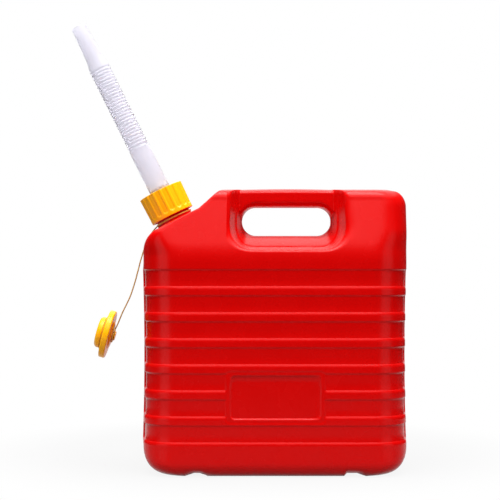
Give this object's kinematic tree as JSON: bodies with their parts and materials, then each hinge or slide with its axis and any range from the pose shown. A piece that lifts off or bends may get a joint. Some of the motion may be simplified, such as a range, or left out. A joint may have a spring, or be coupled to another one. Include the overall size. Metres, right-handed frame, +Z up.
{
  "type": "fuel can",
  "caption": "Ribbed plastic fuel can with a through handle, slanted threaded neck, collar nut, bendable pouring spout and a stopper on a tether.",
  "frame": {"origin": "middle of the flat base, on the surface that the can stands on", "axes": "+Z up, +X to the right with the neck on the left, -Y the front with the handle hole seen through"},
  "size_m": [0.3707, 0.15, 0.4987],
  "materials": {
    "can_red": "satin blow-moulded polyethylene, dyed through",
    "amber_plastic": "satin moulded polyethylene",
    "frosted_plastic": "milky translucent polyethylene",
    "black_rubber": "matt nitrile rubber",
    "amber_rubber": "matt soft seal",
    "tether_plastic": "matt moulded polyethylene strap"
  },
  "bodies": {
    "can": {"can_body": "can_red"},
    "collar_seat": {"spout_gasket": "black_rubber"},
    "collar": {"collar_nut": "amber_plastic"},
    "spout": {"spout_base": "frosted_plastic", "spout_bellows": "frosted_plastic"},
    "nozzle": {"spout_nozzle": "frosted_plastic"},
    "tether_ring": {"tether_ring": "tether_plastic"},
    "tether_strap": {"tether_strap": "tether_plastic"},
    "stopper": {"stopper": "amber_plastic", "stopper_seal": "amber_rubber"}
  },
  "joints": [
    {"name": "collar_lift", "type": "slide", "parent": "can", "child": "collar_seat", "axis": [-0.4462, 0, 0.8949], "range_m": [0, 0.01]},
    {"name": "collar_turn", "type": "hinge", "parent": "collar_seat", "child": "collar", "pos_m": [-0.11, 0, 0.2752], "axis": [-0.4462, 0, 0.8949], "range_deg": [0, 720]},
    {"name": "spout_swivel", "type": "hinge", "parent": "collar_seat", "child": "spout", "pos_m": [-0.11, 0, 0.2752], "axis": [-0.4462, 0, 0.8949], "continuous": true},
    {"name": "spout_bend", "type": "hinge", "parent": "spout", "child": "nozzle", "pos_m": [-0.17399, 0, 0.40353], "axis": [0, 1, 0], "range_deg": [-45, 45], "stiffness_Nm_per_rad": 0.4, "deforming": ["spout_bellows"]},
    {"name": "tether_swivel", "type": "hinge", "parent": "can", "child": "tether_ring", "pos_m": [-0.11, 0, 0.2752], "axis": [-0.4462, 0, 0.8949], "range_deg": [-13, 13]},
    {"name": "tether_lift", "type": "hinge", "parent": "tether_ring", "child": "tether_strap", "pos_m": [-0.13931, 0, 0.26122], "axis": [0, 1, 0], "range_deg": [0, 100]},
    {"name": "stopper_swivel", "type": "hinge", "parent": "tether_strap", "child": "stopper", "pos_m": [-0.1838, 0, 0.14935], "axis": [-0.9648, 0, 0.263], "continuous": true}
  ],
  "couplings": [
    {"joint": "collar_turn", "follows": "collar_lift", "rad_per_m": 1256.6}
  ]
}
